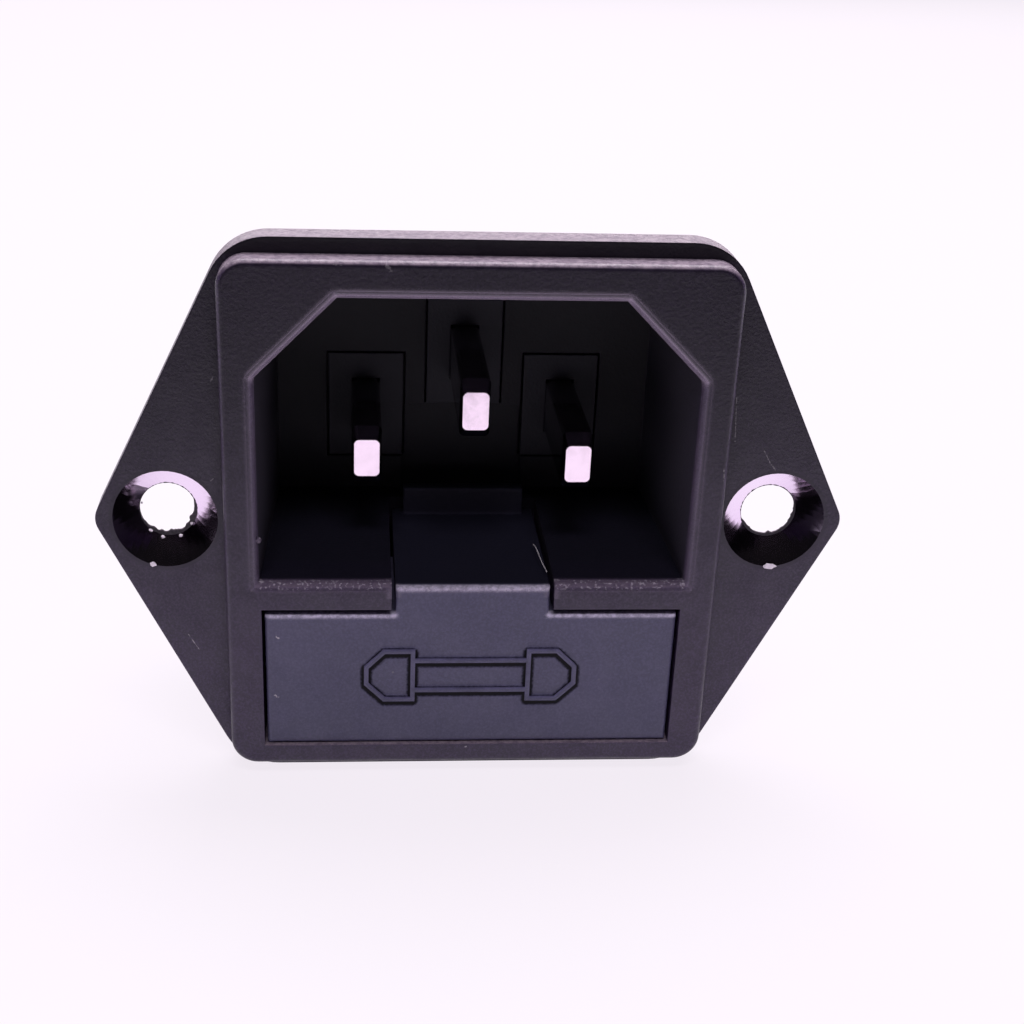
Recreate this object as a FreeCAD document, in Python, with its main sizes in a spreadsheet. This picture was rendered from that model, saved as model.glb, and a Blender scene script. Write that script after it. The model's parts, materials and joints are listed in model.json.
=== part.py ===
"""Panel-mounted three-pin appliance inlet with a fuse drawer, millimetres.

Frame: X to the right, Y into the panel, Z up.  The origin is the middle of the line
between the two fixing holes, on the back face of the flange, which seats on the panel.
"""
import FreeCAD
import Part
import Sketcher
import math
import os
import re

doc = FreeCAD.newDocument("FusedInlet")

# ---------------------------------------------------------------- driving dimensions
SIZES = {
    # flange and fixing holes
    "hole_pitch": 40.0,
    "hole_dia": 3.7,
    "sink_dia": 6.74,
    "sink_depth": 1.75,
    "flange_thick": 2.0,
    "flange_height": 37.2,
    "flange_reach": 24.65,
    "flange_slope": 63.8,
    "flange_corner_round": 4.0,
    "ear_tip_round": 1.6,
    # raised bezel
    "bezel_width": 32.3,
    "bezel_height": 35.2,
    "bezel_raise": 1.7,
    "bezel_corner_round": 1.8,
    "bezel_rim_round": 0.4,
    # body behind the panel
    "side_wall": 1.15,
    "roof_wall": 0.95,
    "bay_floor": 1.1,
    "collar_margin": 3.0,
    "body_corner_round": 1.2,
    "rear_rim_round": 0.5,
    # connector cavity: mouth, then floor
    "mouth_width": 28.1,
    "mouth_top": 15.25,
    "mouth_bottom": -3.87,
    "mouth_chamfer": 5.15,
    "mouth_lip": 0.5,
    "floor_width": 26.6,
    "floor_top": 14.35,
    "floor_bottom": -3.4,
    "floor_chamfer": 4.9,
    "cavity_depth": 15.4,
    "floor_thick": 1.4,
    "recess_width": 8.8,
    "recess_top": 3.0,
    "recess_depth": 0.6,
    # pins
    "pin_pitch": 14.0,
    "pin_height": 3.0,
    "earth_rise": 4.0,
    "pin_thick": 2.0,
    "pin_tall": 4.0,
    "tip_thick": 1.7,
    "tip_tall": 2.6,
    "tip_length": 0.8,
    "pin_edge_round": 0.4,
    "tip_edge_round": 0.35,
    "line_reach": 10.4,
    "neutral_reach": 11.3,
    "earth_reach": 12.2,
    "stake_thick": 1.4,
    "stake_tall": 2.4,
    "stake_head": 0.4,
    "head_margin": 0.35,
    # terminal carrier
    "carrier_thick": 3.2,
    "carrier_gap": 0.1,
    "carrier_edge": 1.6,
    "boss_width": 5.3,
    "boss_tall": 7.7,
    "boss_gap": 0.15,
    "pocket_depth": 2.4,
    # terminal tabs
    "tab_thick": 0.8,
    "tab_width": 4.8,
    "tab_length": 8.0,
    "tab_eye": 1.5,
    "tab_eye_inset": 2.0,
    "tab_bevel": 0.8,
    "line_tab_place": 6.0,
    "foot_tall": 5.6,
    "foot_width": 5.0,
    # fuse bay and drawer
    "bay_width": 27.8,
    "bay_top": -5.75,
    "bay_bottom": -16.1,
    "bay_roof": 1.5,
    "drawer_gap": 0.2,
    "drawer_rest_gap": 0.08,
    "drawer_top_gap": 0.45,
    "face_thick": 1.8,
    "face_sink": 0.2,
    "tray_floor": 1.6,
    "tray_wall": 1.2,
    "rear_tray_width": 19.8,
    "key_width": 10.2,
    "key_depth": 13.0,
    "key_drop": 0.35,
    "key_gap": 0.28,
    "stop_width": 8.6,
    "stop_rise": 2.0,
    "stop_thick": 1.0,
    "face_edge_round": 0.2,
    # cartridge fuses
    "fuse_length": 20.0,
    "cap_dia": 5.2,
    "cap_length": 5.0,
    "cap_wall": 0.3,
    "glass_dia": 4.5,
    "glass_bore": 3.7,
    "wire_dia": 0.3,
    "fuse_seat_gap": 0.15,
    "spare_set_in": 0.6,
    # fuse contacts
    "strip_thick": 0.4,
    "strip_height": 4.4,
    "bow_gap": 0.12,
    "bow_length": 3.4,
    "bow_flat": 0.6,
    "contact_offset": 1.6,
    "slot_gap": 0.1,
    "slot_wall": 1.2,
    # raised fuse symbol on the drawer, between the middles of its ribs
    "rib_width": 0.3,
    "rib_raise": 0.18,
    "symbol_cap_width": 3.12,
    "symbol_cap_height": 3.66,
    "symbol_cap_chamfer": 1.2,
    "symbol_bar_width": 7.8,
    "symbol_bar_height": 2.25,
    "symbol_drop": 4.55,
}

sheet = doc.addObject("Spreadsheet::Sheet", "Dims")
for row, (alias, number) in enumerate(SIZES.items(), start=1):
    sheet.set(f"A{row}", alias)
    sheet.set(f"B{row}", str(number))
    sheet.setAlias(f"B{row}", alias)
doc.recompute()

ALIAS = re.compile(r"\b(" + "|".join(sorted(SIZES, key=len, reverse=True)) + r")\b")


def ref(text):
    """Turn a formula over the sheet's names into a FreeCAD expression."""
    return ALIAS.sub(r"Dims.\1", str(text))


def size(alias):
    """The sheet's present value of one named size."""
    return float(sheet.get(alias))


# ---------------------------------------------------------------- places worked out from the sizes
FRONT = "-(flange_thick + bezel_raise)"
FLOOR = f"({FRONT} + cavity_depth)"
FLOOR_BACK = f"({FLOOR} + floor_thick)"
BODY_BACK = f"({FLOOR_BACK} + carrier_thick)"
DRAWER_FACE = f"({FRONT} + face_sink)"
BAY_END = f"({BODY_BACK} - slot_wall)"
DRAWER_END = f"({BAY_END} - drawer_gap / 2)"
FUSE_Y = f"({DRAWER_END} - tray_wall - fuse_seat_gap - cap_dia / 2)"
SPARE_Y = f"({DRAWER_FACE} + face_thick + spare_set_in + cap_dia / 2)"
TRAY_BOTTOM = "(bay_bottom + drawer_rest_gap)"
TRAY_TOP = "(bay_top - drawer_top_gap)"
FUSE_Z = f"({TRAY_BOTTOM} + tray_floor + cap_dia / 2)"
KEY_TOP = "(mouth_bottom - key_drop)"
EARTH_Z = "(pin_height + earth_rise)"
BODY_SIDE = "(max(mouth_width; bay_width) / 2 + side_wall)"
BODY_LOW = "(bay_bottom - bay_floor)"
BODY_TOP = "(mouth_top + roof_wall)"
ROOF_BACK = "(floor_top + roof_wall)"
COLLAR_TOP = f"({EARTH_Z} + boss_tall / 2 + collar_margin)"

# ---------------------------------------------------------------- modelling helpers
TOUCH = 1e-4
PLANES = {"XZ": ("XZ_Plane", -1), "XY": ("XY_Plane", 1), "YZ": ("YZ_Plane", 1)}


def new_body(label):
    """An empty PartDesign body with its own label."""
    body = doc.addObject("PartDesign::Body", label.title().replace("_", ""))
    body.Label = label
    return body


def base_plane(body, role):
    """One of the body's own origin planes."""
    return next(item for item in body.Origin.OriginFeatures if item.Role == role)


def new_sketch(body, name, plane, at):
    """A sketch on one of the body's planes, moved along the plane's axis to a place."""
    role, direction = PLANES[plane]
    sketch = body.newObject("Sketcher::SketchObject", name)
    sketch.AttachmentSupport = (base_plane(body, role), [""])
    sketch.MapMode = "FlatFace"
    sketch.setExpression("AttachmentOffset.Base.z", ref(f"{direction} * ({at})"))
    return sketch


def add_loop(sketch, points):
    """A closed polygon whose corners are each held by two bound distances from the origin."""
    first = sketch.GeometryCount
    count = len(points)
    ring = [FreeCAD.Vector(*point_on_ring(i, count), 0) for i in range(count)]
    lines = [Part.LineSegment(ring[i], ring[(i + 1) % count]) for i in range(count)]
    sketch.addGeometry(lines, False)
    for i, (across, along) in enumerate(points):
        geo = first + i
        following = first + (i + 1) % count
        sketch.addConstraint(Sketcher.Constraint("Coincident", geo, 2, following, 1))
        for kind, formula, value in (("DistanceX", across, ring[i].x), ("DistanceY", along, ring[i].y)):
            bind(sketch, Sketcher.Constraint(kind, -1, 1, geo, 1, value), formula)


def point_on_ring(i, count):
    """A starting place for a corner, before its distances are bound."""
    turn = FreeCAD.Rotation(FreeCAD.Vector(0, 0, 1), 360.0 * i / count + 10)
    spot = turn.multVec(FreeCAD.Vector(10, 0, 0))
    return spot.x, spot.y


def add_rounded_rectangle(sketch, left, right, low, high, radius):
    """A rectangle with rounded corners. Two corner centres and the radius are bound."""
    reach, bend = 10.0, 2.0
    middle = reach - bend
    up = FreeCAD.Vector(0, 0, 1)
    spots = ((-middle, -middle), (middle, -middle), (middle, middle), (-middle, middle))
    arcs = []
    for i, (x, y) in enumerate(spots):
        start = math.pi * (1 + i / 2)
        circle = Part.Circle(FreeCAD.Vector(x, y, 0), up, bend)
        arcs.append(sketch.addGeometry(Part.ArcOfCircle(circle, start, start + math.pi / 2), False))
    lines = []
    for i in range(4):
        ends = [sketch.getPoint(arcs[i], 2), sketch.getPoint(arcs[(i + 1) % 4], 1)]
        lines.append(sketch.addGeometry(Part.LineSegment(*ends), False))
    for i in range(4):
        sketch.addConstraint(Sketcher.Constraint("Tangent", arcs[i], 2, lines[i], 1))
        sketch.addConstraint(Sketcher.Constraint("Tangent", lines[i], 2, arcs[(i + 1) % 4], 1))
        sketch.addConstraint(Sketcher.Constraint("Vertical" if i % 2 else "Horizontal", lines[i]))
        bind(sketch, Sketcher.Constraint("Radius", arcs[i], bend), radius)
    for arc, across, along in ((arcs[0], f"({left}) + ({radius})", f"({low}) + ({radius})"),
                               (arcs[2], f"({right}) - ({radius})", f"({high}) - ({radius})")):
        spot = sketch.getPoint(arc, 3)
        bind(sketch, Sketcher.Constraint("DistanceX", -1, 1, arc, 3, spot.x), across)
        bind(sketch, Sketcher.Constraint("DistanceY", -1, 1, arc, 3, spot.y), along)


def bind(sketch, constraint, formula):
    """Add one constraint whose value follows a formula over the sheet's names."""
    index = sketch.addConstraint(constraint)
    sketch.setExpression(f"Constraints[{index}]", ref(formula))


def add_circle(sketch, across, along, radius):
    """A circle whose centre and radius are bound."""
    geo = sketch.addGeometry(Part.Circle(FreeCAD.Vector(1, 1, 0), FreeCAD.Vector(0, 0, 1), 1), False)
    for kind, formula in (("DistanceX", across), ("DistanceY", along)):
        bind(sketch, Sketcher.Constraint(kind, -1, 1, geo, 3, 1.0), formula)
    bind(sketch, Sketcher.Constraint("Radius", geo, 1.0), radius)


def extrude(body, name, plane, start, end, loops=(), circles=(), rounded=(), cut=False):
    """A pad, or a pocket when cut is set, between two places along the plane's axis."""
    direction = PLANES[plane][1]
    at = start if (direction > 0) != cut else end
    sketch = new_sketch(body, name + "_sketch", plane, at)
    for loop in loops:
        add_loop(sketch, loop)
    for circle in circles:
        add_circle(sketch, *circle)
    for outline in rounded:
        add_rounded_rectangle(sketch, *outline)
    feature = body.newObject("PartDesign::Pocket" if cut else "PartDesign::Pad", name)
    feature.Profile = sketch
    feature.setExpression("Length", ref(f"({end}) - ({start})"))
    doc.recompute()
    return feature


def rectangle(left, right, low, high):
    """The four corners of an upright rectangle."""
    return [(left, low), (right, low), (right, high), (left, high)]


def centred(width, low, high, middle="0"):
    """A rectangle centred across, between two heights."""
    return rectangle(f"({middle}) - ({width}) / 2", f"({middle}) + ({width}) / 2", low, high)


def block_about(width, height, across, along):
    """A rectangle centred on a point."""
    return rectangle(f"({across}) - ({width}) / 2", f"({across}) + ({width}) / 2",
                     f"({along}) - ({height}) / 2", f"({along}) + ({height}) / 2")


def rounded_about(width, height, across, along, radius):
    """A rounded rectangle centred on a point."""
    return (f"({across}) - ({width}) / 2", f"({across}) + ({width}) / 2",
            f"({along}) - ({height}) / 2", f"({along}) + ({height}) / 2", radius)


def edges_where(feature, test):
    """Names of the feature's edges that pass a test on their two end points."""
    names = []
    for number, edge in enumerate(feature.Shape.Edges, start=1):
        ends = [vertex.Point for vertex in edge.Vertexes]
        if len(ends) == 2 and test(*ends):
            names.append(f"Edge{number}")
    return names


def round_edges(body, name, feature, test, radius):
    """A fillet on the edges that pass the test."""
    fillet = body.newObject("PartDesign::Fillet", name)
    fillet.Base = (feature, edges_where(feature, test))
    fillet.setExpression("Radius", ref(radius))
    doc.recompute()
    return fillet


def same(a, b):
    """True where two lengths agree."""
    return abs(a - b) < TOUCH


def along_y(a, b):
    """True for an edge that runs straight front to back."""
    return same(a.x, b.x) and same(a.z, b.z) and not same(a.y, b.y)


def loft(body, name, near, far, near_at, far_at, cut=False):
    """A tapered boss, or pocket when cut is set, between two outlines one behind the other.

    An outline is a list of corners, a circle of three values or a rounded rectangle of five.
    """
    sketches = []
    for suffix, outline, at in (("_near", near, near_at), ("_far", far, far_at)):
        sketch = new_sketch(body, name + suffix, "XZ", at)
        if isinstance(outline, list):
            add_loop(sketch, outline)
        elif len(outline) == 3:
            add_circle(sketch, *outline)
        else:
            add_rounded_rectangle(sketch, *outline)
        sketches.append(sketch)
    feature = body.newObject("PartDesign::SubtractiveLoft" if cut else "PartDesign::AdditiveLoft", name)
    feature.Profile = sketches[0]
    feature.Sections = [(sketches[1], [""])]
    feature.Ruled = True
    doc.recompute()
    return feature


# ---------------------------------------------------------------- housing
LIP_STEPS = 3
BEVEL_GROWTH = "(2 - sqrt(2))"      # how much longer a 45 degree bevel gets where its outline grows by 1


def cavity_outline(width, top, bottom, chamfer):
    """The inlet's six-sided outline: a rectangle with its two upper corners cut off."""
    side = f"{width} / 2"
    return [(f"-{side}", bottom), (side, bottom), (side, f"{top} - {chamfer}"),
            (f"{side} - {chamfer}", top), (f"-{side} + {chamfer}", top), (f"-{side}", f"{top} - {chamfer}")]


def rear_outline(top):
    """The section of the body behind the panel, up to the height of its roof."""
    return f"-{BODY_SIDE}", BODY_SIDE, BODY_LOW, top, "body_corner_round"


def lip_outline(angle):
    """The mouth's outline as the rounding of its lip leaves it, part of the way round the curve."""
    spread = f"(mouth_lip * (1 - sin({angle}deg)))"
    return cavity_outline(f"(mouth_width + 2 * {spread})", f"(mouth_top + {spread})",
                          f"mouth_bottom - {spread}", f"(mouth_chamfer + {BEVEL_GROWTH} * {spread})")


def make_housing():
    """Flange, bezel, body, cavity and fuse bay, moulded as one piece."""
    body = new_body("housing")
    half = "flange_height / 2"
    corner = "flange_reach - flange_height / 2 / tan(flange_slope * 1deg)"
    hexagon = [("-flange_reach", "0"), (f"-({corner})", f"-{half}"), (corner, f"-{half}"),
               ("flange_reach", "0"), (corner, half), (f"-({corner})", half)]
    reach, top = size("flange_reach"), size("flange_height") / 2
    flange = extrude(body, "flange", "XZ", "-flange_thick", "0", loops=[hexagon])
    corners = round_edges(body, "flange_corners", flange,
                          lambda a, b: along_y(a, b) and same(abs(a.z), top), "flange_corner_round")
    round_edges(body, "ear_tips", corners,
                lambda a, b: along_y(a, b) and same(abs(a.x), reach), "ear_tip_round")
    bezel = extrude(body, "bezel", "XZ", FRONT, "0", rounded=[
        rounded_about("bezel_width", "bezel_height", "0", "0", "bezel_corner_round")])
    front = -size("flange_thick") - size("bezel_raise")
    round_edges(body, "bezel_rim", bezel, lambda a, b: same(a.y, front) and same(b.y, front),
                "bezel_rim_round")

    # the roof slopes with the cavity's draft and steps down to the collar round the carrier
    loft(body, "rear_body", rear_outline(BODY_TOP), rear_outline(ROOF_BACK), "0", FLOOR_BACK)
    collar = extrude(body, "rear_collar", "XZ", FLOOR_BACK, BODY_BACK, rounded=[rear_outline(COLLAR_TOP)])
    back = collar.Shape.BoundBox.YMax
    round_edges(body, "rear_rim", collar, lambda a, b: same(a.y, back) and same(b.y, back),
                "rear_rim_round")

    mouth = cavity_outline("mouth_width", "mouth_top", "mouth_bottom", "mouth_chamfer")
    floor = cavity_outline("floor_width", "floor_top", "floor_bottom", "floor_chamfer")
    loft(body, "cavity", mouth, floor, FRONT, FLOOR, cut=True)
    for step in range(LIP_STEPS):
        near, far = (90.0 * (step + i) / LIP_STEPS for i in (0, 1))
        loft(body, f"mouth_lip_{step}", lip_outline(near), lip_outline(far),
             f"{FRONT} + mouth_lip * (1 - cos({near}deg))", f"{FRONT} + mouth_lip * (1 - cos({far}deg))",
             cut=True)

    extrude(body, "fuse_bay", "XZ", FRONT, BAY_END, cut=True,
            loops=[centred("bay_width", "bay_bottom", "bay_top")])
    extrude(body, "key_slot", "XZ", FRONT, f"{DRAWER_FACE} + key_depth + drawer_gap", cut=True,
            loops=[centred("key_width + 2 * key_gap", "(bay_top + bay_bottom) / 2", "pin_height - pin_tall")])
    extrude(body, "floor_recess", "XZ", FLOOR, f"{FLOOR} + recess_depth", cut=True,
            loops=[centred("recess_width", "floor_bottom", "recess_top")])
    windows = [block_about("boss_width + 2 * boss_gap", "boss_tall + 2 * boss_gap", x, z)
               for x, z in PIN_PLACES.values()]
    extrude(body, "floor_windows", "XZ", FLOOR, FLOOR_BACK, cut=True, loops=windows)
    extrude(body, "carrier_recess", "XZ", FLOOR_BACK, BODY_BACK, cut=True,
            loops=[centred(CARRIER_BAY, CARRIER_LOW, CARRIER_HIGH)])
    slots = [block_about("strip_thick + 2 * slot_gap", "strip_height + 2 * slot_gap", x, FUSE_Z)
             for x in (BLADE_X, f"-({BLADE_X})")]
    extrude(body, "contact_slots", "XZ", BAY_END, BODY_BACK, cut=True, loops=slots)

    for name, x in (("left", "-hole_pitch / 2"), ("right", "hole_pitch / 2")):
        extrude(body, f"{name}_hole", "XZ", "-flange_thick", "0", cut=True,
                circles=[(x, "0", "hole_dia / 2")])
        loft(body, f"{name}_sink", (x, "0", "sink_dia / 2"), (x, "0", "hole_dia / 2"),
             "-flange_thick", "-flange_thick + sink_depth", cut=True)
    return body


# ---------------------------------------------------------------- terminal carrier
def make_terminal_carrier():
    """The plate behind the cavity floor, with a boss round each pin."""
    body = new_body("terminal_carrier")
    extrude(body, "plate", "XZ", FLOOR_BACK, BODY_BACK,
            loops=[centred(f"{CARRIER_BAY} - 2 * carrier_gap",
                           f"{CARRIER_LOW} + carrier_gap", f"{CARRIER_HIGH} - carrier_gap")])
    bosses = [block_about("boss_width", "boss_tall", x, z) for x, z in PIN_PLACES.values()]
    extrude(body, "bosses", "XZ", FLOOR, FLOOR_BACK, loops=bosses)
    pockets = [block_about("pin_thick", "pin_tall", x, z) for x, z in PIN_PLACES.values()]
    extrude(body, "pin_pockets", "XZ", FLOOR, PIN_SEAT, cut=True, loops=pockets)
    stakes = [block_about("stake_thick", "stake_tall", x, z) for x, z in PIN_PLACES.values()]
    extrude(body, "stake_slots", "XZ", PIN_SEAT, BODY_BACK, cut=True, loops=stakes)
    return body


# ---------------------------------------------------------------- pins and terminals
def make_pin(name, reach, foot_thick):
    """A flat pin with a tapered tip, a shoulder in the carrier and a staked tail."""
    x, z = PIN_PLACES[name]
    body = new_body(f"{name}_pin")
    tip = f"({FLOOR} - {reach})"
    tail = f"({BODY_BACK} + {foot_thick})"
    section = rounded_about("pin_thick", "pin_tall", x, z, "pin_edge_round")
    extrude(body, f"{name}_blade", "XZ", f"{tip} + tip_length", PIN_SEAT, rounded=[section])
    loft(body, f"{name}_tip", rounded_about("tip_thick", "tip_tall", x, z, "tip_edge_round"), section,
         tip, f"{tip} + tip_length")
    extrude(body, f"{name}_stake", "XZ", PIN_SEAT, tail,
            loops=[block_about("stake_thick", "stake_tall", x, z)])
    extrude(body, f"{name}_stake_head", "XZ", tail, f"{tail} + stake_head",
            loops=[block_about("stake_thick + 2 * head_margin", "stake_tall + 2 * head_margin", x, z)])
    return body


def make_tab(name, side):
    """A folded solder tab: a foot under the pin's staked head and a tail with an eyelet."""
    x, z = PIN_PLACES[name]
    body = new_body(f"{name}_tab")
    foot = extrude(body, f"{name}_foot", "XZ", BODY_BACK, f"{BODY_BACK} + tab_thick",
                   loops=[block_about("foot_width", "foot_tall", x, z)])
    extrude(body, f"{name}_stake_hole", "XZ", BODY_BACK, f"{BODY_BACK} + tab_thick", cut=True,
            loops=[block_about("stake_thick", "stake_tall", x, z)])
    edge = f"({z} + {side} * foot_tall / 2)"
    low, high = (f"({edge} - tab_thick)", edge) if side > 0 else (edge, f"({edge} + tab_thick)")
    root, end = f"{BODY_BACK}", f"({BODY_BACK} + tab_length)"
    add_tail(body, name, x, low, high, root, end, "tab_width")
    return body


def add_tail(body, name, x, low, high, root, end, width):
    """A flat tail lying level, with bevelled corners and an eyelet."""
    half, bevel = f"{width} / 2", "tab_bevel"
    outline = [(f"{x} - {half}", root), (f"{x} + {half}", root), (f"{x} + {half}", f"{end} - {bevel}"),
               (f"{x} + {half} - {bevel}", end), (f"{x} - {half} + {bevel}", end),
               (f"{x} - {half}", f"{end} - {bevel}")]
    extrude(body, f"{name}_tail", "XY", low, high, loops=[outline])
    extrude(body, f"{name}_eyelet", "XY", low, high, cut=True,
            circles=[(x, f"{end} - tab_eye_inset", "tab_eye / 2")])


def contact_profile(side, plate_inner):
    """Plan view of a folded contact: back plate, blade and the bow that presses on the fuse cap."""
    outer = f"({BLADE_X} + strip_thick / 2)"
    inner = f"({BLADE_X} - strip_thick / 2)"
    apex = "(fuse_length / 2 + bow_gap)"
    back = f"({BODY_BACK} + strip_thick)"
    outline = [(plate_inner, BODY_BACK), (inner, BODY_BACK), (inner, f"{FUSE_Y} + bow_length"),
               (apex, f"{FUSE_Y} + bow_flat"), (apex, f"{FUSE_Y} - bow_flat"),
               (inner, f"{FUSE_Y} - bow_length"), (outer, f"{FUSE_Y} - bow_length"),
               (f"{apex} + strip_thick", f"{FUSE_Y} - bow_flat"),
               (f"{apex} + strip_thick", f"{FUSE_Y} + bow_flat"),
               (outer, f"{FUSE_Y} + bow_length"), (outer, back), (plate_inner, back)]
    return [(f"{side} * ({across})", along) for across, along in outline]


def make_pin_contact():
    """Spring contact on the left end of the fuse, staked under the line pin's tail."""
    body = new_body("pin_side_contact")
    x, z = PIN_PLACES["line"]
    low, high = f"({FUSE_Z} - strip_height / 2)", f"({FUSE_Z} + strip_height / 2)"
    extrude(body, "pin_side_blade", "XY", low, high,
            loops=[contact_profile(-1, "pin_pitch / 2 - foot_width / 2")])
    extrude(body, "riser", "XZ", BODY_BACK, f"{BODY_BACK} + strip_thick",
            loops=[centred("foot_width", high, f"{z} + foot_tall / 2", middle=x)])
    extrude(body, "riser_stake_hole", "XZ", BODY_BACK, f"{BODY_BACK} + strip_thick", cut=True,
            loops=[block_about("stake_thick", "stake_tall", x, z)])
    return body


def make_line_terminal():
    """Spring contact on the right end of the fuse, with the fused solder tab in one strip."""
    body = new_body("line_terminal")
    low, high = f"({FUSE_Z} - strip_height / 2)", f"({FUSE_Z} + strip_height / 2)"
    inner = "line_tab_place - tab_width / 2"
    extrude(body, "line_blade", "XY", low, high, loops=[contact_profile(1, inner)])
    add_tail(body, "line", "line_tab_place", low, f"{low} + strip_thick", BODY_BACK,
             f"({BODY_BACK} + tab_length)", "tab_width")
    return body


# ---------------------------------------------------------------- fuses
def make_fuse(prefix, y, z):
    """A glass cartridge fuse lying across: tube, two end caps and the wire."""
    end = "(fuse_length / 2)"
    pieces = []
    tube = new_body(f"{prefix}_glass")
    inside = f"({end} - cap_wall)"
    extrude(tube, f"{prefix}_tube", "YZ", f"-{inside}", inside, circles=[(y, z, "glass_dia / 2")])
    extrude(tube, f"{prefix}_tube_bore", "YZ", f"-{inside}", inside, cut=True,
            circles=[(y, z, "glass_bore / 2")])
    pieces.append(tube)
    for side, name in ((-1, "left"), (1, "right")):
        cap = new_body(f"{prefix}_cap_{name}")
        rim = f"({end} - cap_length)"
        spans = (((rim, end), (rim, inside)) if side > 0
                 else ((f"-{end}", f"-{rim}"), (f"-{inside}", f"-{rim}")))
        extrude(cap, f"{prefix}_{name}_cup", "YZ", *spans[0], circles=[(y, z, "cap_dia / 2")])
        extrude(cap, f"{prefix}_{name}_cup_bore", "YZ", *spans[1], cut=True,
                circles=[(y, z, "glass_dia / 2")])
        pieces.append(cap)
    wire = new_body(f"{prefix}_wire")
    extrude(wire, f"{prefix}_link", "YZ", f"-{inside}", inside, circles=[(y, z, "wire_dia / 2")])
    pieces.append(wire)
    return pieces


# ---------------------------------------------------------------- fuse drawer
def cap_ring(side, middle):
    """The outer and inner outlines of the rib round one cap of the fuse symbol."""
    loops = []
    for inset in ("-rib_width / 2", "rib_width / 2"):
        near = f"(symbol_bar_width / 2 + ({inset}))"
        far = f"(symbol_bar_width / 2 + symbol_cap_width - ({inset}))"
        tall = f"(symbol_cap_height / 2 - ({inset}))"
        bevel = f"(symbol_cap_chamfer - ({inset}) * {BEVEL_GROWTH})"
        loop = [(near, f"-{tall}"), (f"{far} - {bevel}", f"-{tall}"), (far, f"-{tall} + {bevel}"),
                (far, f"{tall} - {bevel}"), (f"{far} - {bevel}", tall), (near, tall)]
        loops.append([(f"{side} * ({u})", f"({middle}) + {v}") for u, v in loop])
    return loops


def make_drawer():
    """T-shaped drawer face with its key, the closed spare compartment and the open rear cradle."""
    body = new_body("fuse_drawer")
    width = "(bay_width - 2 * drawer_gap)"
    face_back = f"({DRAWER_FACE} + face_thick)"
    block_back = f"({SPARE_Y} + cap_dia / 2 + fuse_seat_gap + tray_wall)"
    face = extrude(body, "face", "XZ", DRAWER_FACE, face_back, loops=[[
        (f"-{width} / 2", TRAY_BOTTOM), (f"{width} / 2", TRAY_BOTTOM), (f"{width} / 2", TRAY_TOP),
        ("key_width / 2", TRAY_TOP), ("key_width / 2", KEY_TOP), ("-key_width / 2", KEY_TOP),
        ("-key_width / 2", TRAY_TOP), (f"-{width} / 2", TRAY_TOP)]])
    plane = -size("flange_thick") - size("bezel_raise") + size("face_sink")
    round_edges(body, "face_edges", face, lambda a, b: same(a.y, plane) and same(b.y, plane),
                "face_edge_round")
    extrude(body, "spare_block", "XZ", face_back, block_back, loops=[centred(width, TRAY_BOTTOM, TRAY_TOP)])
    key_end = f"({DRAWER_FACE} + key_depth)"
    extrude(body, "key", "XZ", face_back, key_end, loops=[centred("key_width", TRAY_TOP, KEY_TOP)])
    extrude(body, "key_stop", "XZ", f"{key_end} - stop_thick", key_end,
            loops=[centred("stop_width", KEY_TOP, f"{KEY_TOP} + stop_rise")])
    extrude(body, "cradle_floor", "XZ", block_back, DRAWER_END,
            loops=[centred("rear_tray_width", TRAY_BOTTOM, f"{TRAY_BOTTOM} + tray_floor")])
    extrude(body, "cradle_end", "XZ", f"{DRAWER_END} - tray_wall", DRAWER_END,
            loops=[centred("rear_tray_width", TRAY_BOTTOM, TRAY_TOP)])
    ridge = f"({FUSE_Y} - cap_dia / 2 - fuse_seat_gap)"
    extrude(body, "cradle_ridge", "XZ", f"{ridge} - tray_wall", ridge,
            loops=[centred("rear_tray_width", TRAY_BOTTOM, FUSE_Z)])
    extrude(body, "spare_bore", "YZ", "-fuse_length / 2 - fuse_seat_gap", f"{width} / 2", cut=True,
            circles=[(SPARE_Y, f"{FUSE_Z} + fuse_seat_gap", "cap_dia / 2 + fuse_seat_gap")])
    middle = f"{TRAY_TOP} - symbol_drop"
    front = f"{DRAWER_FACE} - rib_raise"
    extrude(body, "symbol_caps", "XZ", front, DRAWER_FACE, loops=cap_ring(-1, middle) + cap_ring(1, middle))
    bars = [block_about("symbol_bar_width", "rib_width", "0", f"{middle} + {side} * symbol_bar_height / 2")
            for side in (-1, 1)]
    extrude(body, "symbol_bar", "XZ", front, DRAWER_FACE, loops=bars)
    return body


# ---------------------------------------------------------------- assembly
PIN_PLACES = {
    "line": ("-pin_pitch / 2", "pin_height"),
    "neutral": ("pin_pitch / 2", "pin_height"),
    "earth": ("0", EARTH_Z),
}
CARRIER_LOW = "(bay_top + bay_roof)"
CARRIER_HIGH = f"({COLLAR_TOP} - carrier_edge)"
CARRIER_BAY = f"(2 * {BODY_SIDE} - 2 * carrier_edge)"
PIN_SEAT = f"({FLOOR} + pocket_depth)"
BLADE_X = "(fuse_length / 2 + contact_offset)"

parts = [
    make_housing(),
    make_terminal_carrier(),
    make_pin("line", "line_reach", "strip_thick"),
    make_pin("neutral", "neutral_reach", "tab_thick"),
    make_pin("earth", "earth_reach", "tab_thick"),
    make_tab("neutral", 1),
    make_tab("earth", 1),
    make_pin_contact(),
    make_line_terminal(),
    make_drawer(),
]
parts += make_fuse("fuse", FUSE_Y, FUSE_Z)
parts += make_fuse("spare_fuse", SPARE_Y, FUSE_Z)

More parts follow.
